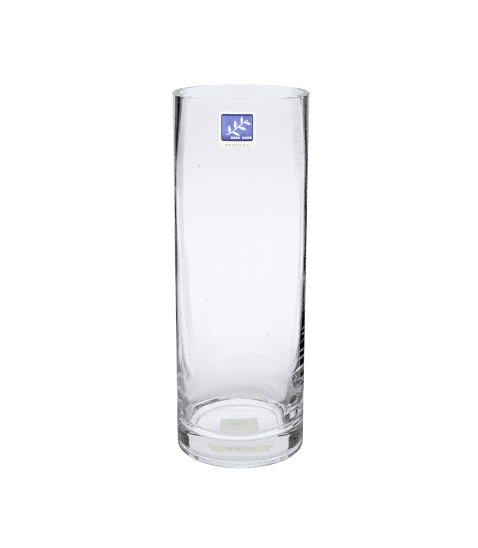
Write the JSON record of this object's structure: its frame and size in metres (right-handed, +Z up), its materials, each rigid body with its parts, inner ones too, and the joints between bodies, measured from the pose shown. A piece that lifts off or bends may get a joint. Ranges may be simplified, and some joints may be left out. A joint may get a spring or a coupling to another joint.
{
  "type": "glass cylinder vase",
  "caption": "Tall straight clear-glass cylinder vase with a flat ground rim, a heavy solid base and a label high on the front.",
  "frame": {"origin": "centre of the foot ring, on the surface the vase stands on", "axes": "+Z up along the vase's axis to the mouth; the labelled front faces -Y; +X to the right seen from the front"},
  "size_m": [0.09, 0.0903, 0.25],
  "materials": {
    "clear_glass": "polished",
    "label_white": "satin",
    "label_blue": "satin",
    "label_motif_white": "satin",
    "label_grey": "matte",
    "sticker_paper": "matte",
    "sticker_print": "matte"
  },
  "bodies": {
    "root": {"vase_body": "clear_glass", "label_backing": "label_white", "label_panel": "label_blue", "label_motif": "label_motif_white", "label_caption": "label_grey", "base_sticker": "sticker_paper", "base_sticker_print": "sticker_print"}
  },
  "joints": []
}
